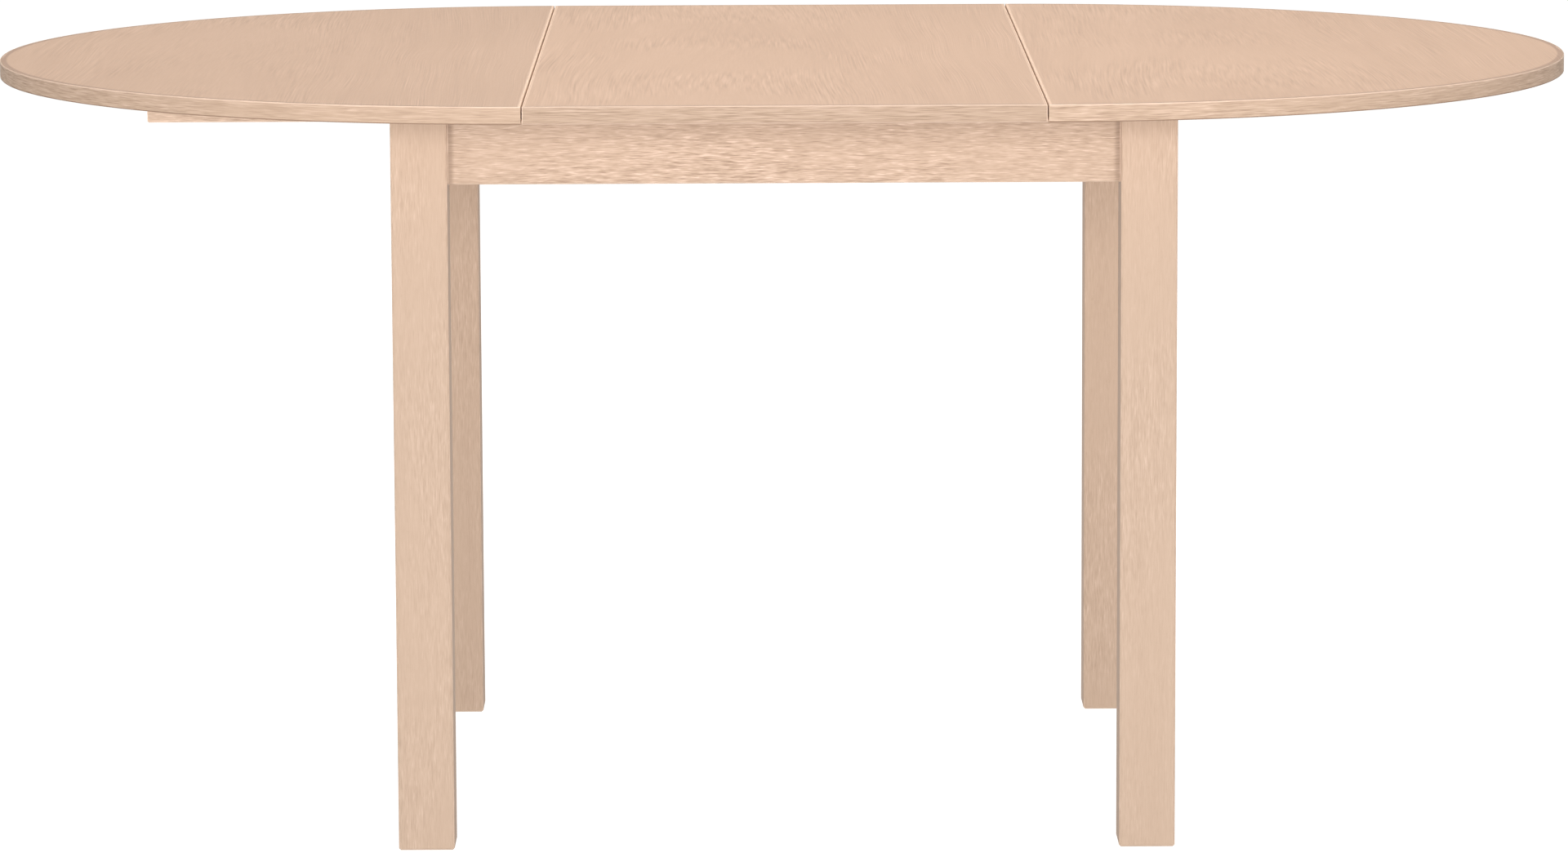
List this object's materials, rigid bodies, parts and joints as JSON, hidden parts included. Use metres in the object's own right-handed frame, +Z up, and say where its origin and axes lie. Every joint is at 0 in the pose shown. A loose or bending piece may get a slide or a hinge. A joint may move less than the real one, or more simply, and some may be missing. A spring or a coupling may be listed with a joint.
{
  "type": "round extension table",
  "caption": "Round-ended wooden dining table on square legs, with two half tops that slide apart over a fixed frame and a loose centre leaf between them.",
  "frame": {"origin": "on the floor under the centre of the extended table", "axes": "+X along the long way of the extended top, towards the right half; -Y is the front; +Z up"},
  "size_m": [1.5998, 1.1, 0.755],
  "materials": {
    "top_veneer": "satin beech veneer, grain running front to back",
    "edge_banding": "satin beech edge band, grain running along the edge",
    "frame_beech": "satin lacquered solid beech",
    "runner_beech": "planed beech, waxed",
    "inner_wood": "planed wood, unlacquered",
    "dowel_wood": "turned beech dowel",
    "zinc_steel": "zinc-plated steel",
    "glide_nylon": "matt nylon",
    "pad_felt": "wool felt"
  },
  "bodies": {
    "base_frame": {"front_left_leg": "frame_beech", "front_right_leg": "frame_beech", "back_left_leg": "frame_beech", "back_right_leg": "frame_beech", "front_left_glide": "glide_nylon", "front_right_glide": "glide_nylon", "back_left_glide": "glide_nylon", "back_right_glide": "glide_nylon", "front_apron": "frame_beech", "back_apron": "frame_beech", "left_apron": "frame_beech", "right_apron": "frame_beech", "front_left_block": "inner_wood", "front_right_block": "inner_wood", "back_left_block": "inner_wood", "back_right_block": "inner_wood", "front_guide_rail": "inner_wood", "back_guide_rail": "inner_wood", "hanger_bolts": "zinc_steel", "hanger_washers": "zinc_steel", "hanger_nuts": "zinc_steel", "block_screws": "zinc_steel", "apron_dowels": "dowel_wood", "rail_dowels": "dowel_wood", "slide_pads": "pad_felt"},
    "left_half": {"left_half_top": "top_veneer", "left_edge_band": "edge_banding", "left_seam_band": "edge_banding", "left_front_runner": "runner_beech", "left_back_runner": "runner_beech", "left_runner_screws": "zinc_steel", "left_stop_pegs": "dowel_wood"},
    "right_half": {"right_half_top": "top_veneer", "right_edge_band": "edge_banding", "right_seam_band": "edge_banding", "right_front_runner": "runner_beech", "right_back_runner": "runner_beech", "right_runner_screws": "zinc_steel", "right_stop_pegs": "dowel_wood"},
    "leaf": {"insert_leaf": "top_veneer", "leaf_front_band": "edge_banding", "leaf_back_band": "edge_banding", "leaf_left_band": "edge_banding", "leaf_right_band": "edge_banding", "front_leaf_cleat": "inner_wood", "back_leaf_cleat": "inner_wood", "leaf_cleat_screws": "zinc_steel"}
  },
  "joints": [
    {"name": "left_half_slide", "type": "slide", "parent": "base_frame", "child": "left_half", "axis": [-1, 0, 0], "range_m": [0, 0.03]},
    {"name": "right_half_slide", "type": "slide", "parent": "base_frame", "child": "right_half", "axis": [1, 0, 0], "range_m": [0, 0.03]},
    {"name": "leaf_lift", "type": "slide", "parent": "base_frame", "child": "leaf", "axis": [0, 0, 1], "range_m": [0, 0.3]}
  ]
}
